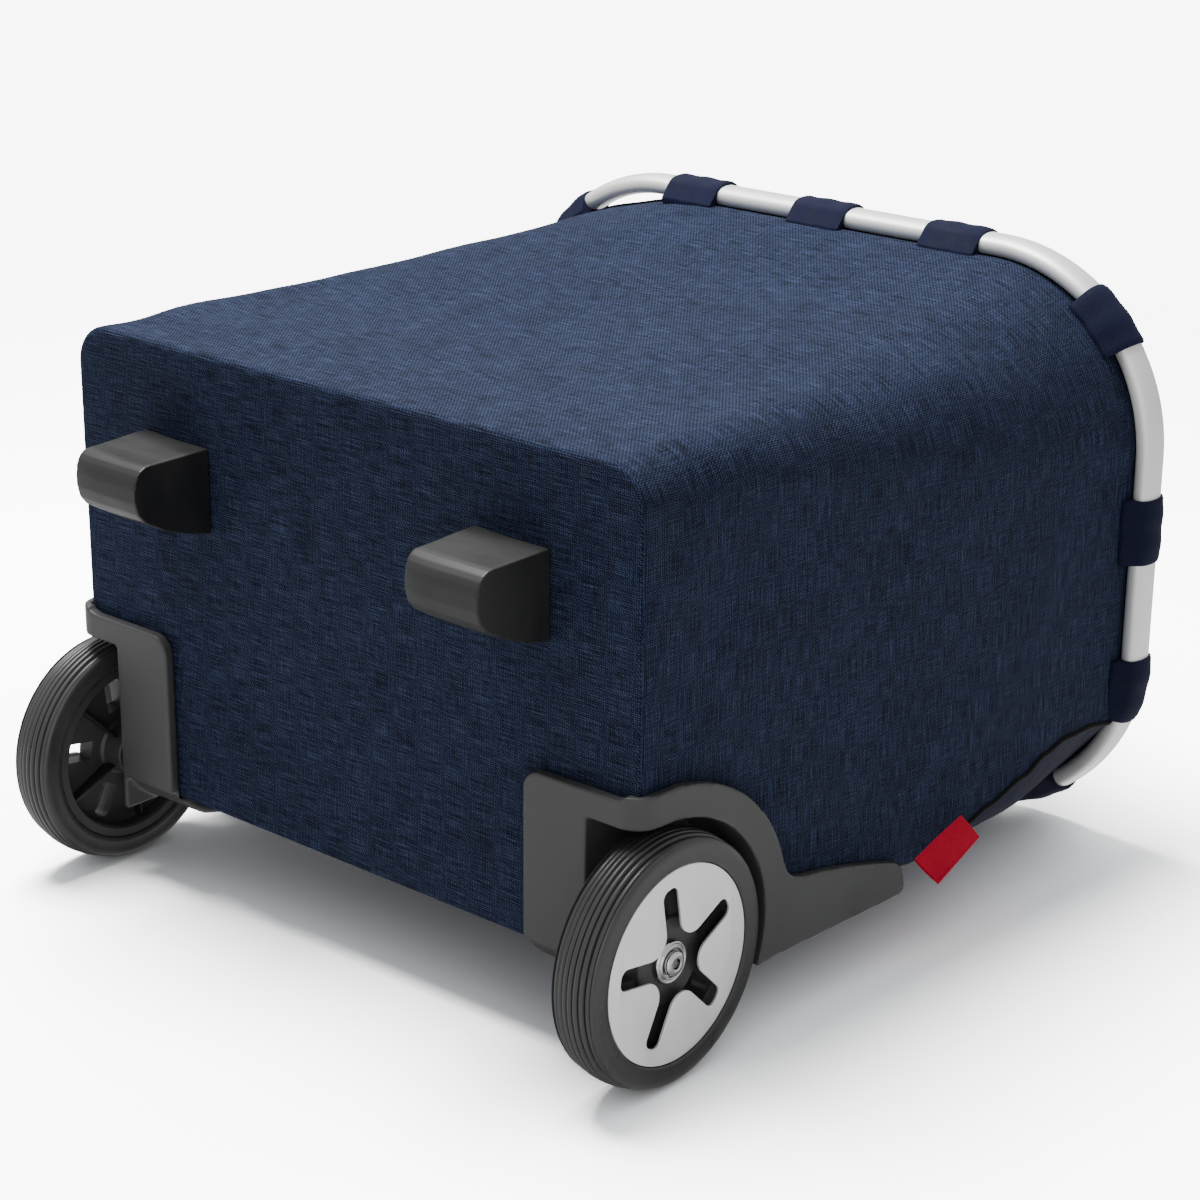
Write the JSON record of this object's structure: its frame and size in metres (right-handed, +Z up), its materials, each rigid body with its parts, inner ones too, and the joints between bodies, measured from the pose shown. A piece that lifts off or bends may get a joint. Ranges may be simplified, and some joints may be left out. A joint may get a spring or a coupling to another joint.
{
  "type": "shopping trolley",
  "caption": "Fabric shopping bag hung in an oval aluminium frame ring, on wheels in corner housings and front feet, with a telescopic rear handle",
  "frame": {"origin": "centre of the footprint, on the floor that the wheels and feet stand on", "axes": "+Z up when standing, -Y towards the front panel, +Y towards the handle, X along the wheels' common axis"},
  "size_m": [0.4238, 0.3135, 0.477],
  "materials": {
    "bag_fabric": "melange woven polyester, matt",
    "webbing": "plain woven band, matt",
    "board": "plain matt board",
    "label": "folded woven label, blank",
    "frame_aluminium": "satin anodised",
    "disc_aluminium": "satin, slightly grained",
    "bright_steel": "bright plated",
    "tyre": "satin grooved rubber",
    "foot_plastic": "satin moulded plastic",
    "dark_plastic": "satin moulded plastic"
  },
  "bodies": {
    "chassis": {"frame_ring": "frame_aluminium", "frame_joiner": "frame_aluminium", "bag_shell": "bag_fabric", "base_board": "board", "side_label": "label", "loop_front_left": "webbing", "loop_front_centre": "webbing", "loop_front_right": "webbing", "loop_side_mid_right": "webbing", "loop_side_mid_left": "webbing", "loop_side_rear_right": "webbing", "loop_corner_rear_right": "webbing", "loop_corner_front_right": "webbing", "loop_side_rear_left": "webbing", "loop_corner_rear_left": "webbing", "loop_corner_front_left": "webbing", "wheel_housing_right": "dark_plastic", "wheel_housing_left": "dark_plastic", "axle_bolt_right": "bright_steel", "axle_bolt_left": "bright_steel", "axle_nut_right": "bright_steel", "axle_nut_left": "bright_steel", "bolt_washer_right": "bright_steel", "bolt_washer_left": "bright_steel", "foot_right": "foot_plastic", "foot_left": "foot_plastic", "foot_screw_right": "bright_steel", "foot_screw_left": "bright_steel", "housing_screw_right": "bright_steel", "housing_screw_left": "bright_steel", "cross_bar": "dark_plastic", "cross_bar_screw_right": "bright_steel", "cross_bar_screw_left": "bright_steel", "handle_collar": "dark_plastic", "collar_screw_right": "bright_steel", "collar_screw_left": "bright_steel", "outer_tube_right": "frame_aluminium", "outer_tube_left": "frame_aluminium", "outer_guide_right": "dark_plastic", "outer_guide_left": "dark_plastic"},
    "wheel_right": {"tyre_right": "tyre", "wheel_rim_right": "dark_plastic", "wheel_disc_right": "disc_aluminium", "wheel_bush_right": "dark_plastic"},
    "wheel_left": {"tyre_left": "tyre", "wheel_rim_left": "dark_plastic", "wheel_disc_left": "disc_aluminium", "wheel_bush_left": "dark_plastic"},
    "middle_stage": {"middle_tube_right": "frame_aluminium", "middle_tube_left": "frame_aluminium", "middle_guide_right": "dark_plastic", "middle_guide_left": "dark_plastic"},
    "grip_stage": {"inner_tube_right": "frame_aluminium", "inner_tube_left": "frame_aluminium", "handle_grip": "dark_plastic", "button_spring": "bright_steel"},
    "release": {"release_button": "dark_plastic", "release_rod_right": "bright_steel", "release_rod_left": "bright_steel"}
  },
  "joints": [
    {"name": "wheel_spin_right", "type": "hinge", "parent": "chassis", "child": "wheel_right", "pos_m": [0.18, 0.099, 0.059], "axis": [1, 0, 0], "continuous": true},
    {"name": "wheel_spin_left", "type": "hinge", "parent": "chassis", "child": "wheel_left", "pos_m": [-0.18, 0.099, 0.059], "axis": [1, 0, 0], "continuous": true},
    {"name": "handle_middle_slide", "type": "slide", "parent": "chassis", "child": "middle_stage", "axis": [0, 0, 1], "range_m": [0, 0.27]},
    {"name": "handle_inner_slide", "type": "slide", "parent": "middle_stage", "child": "grip_stage", "axis": [0, 0, 1], "range_m": [0, 0.27]},
    {"name": "release_press", "type": "slide", "parent": "grip_stage", "child": "release", "axis": [0, 0, -1], "range_m": [0, 0.003], "stiffness_N_per_m": 800, "springref_m": -0.004, "deforming": ["button_spring"]}
  ]
}
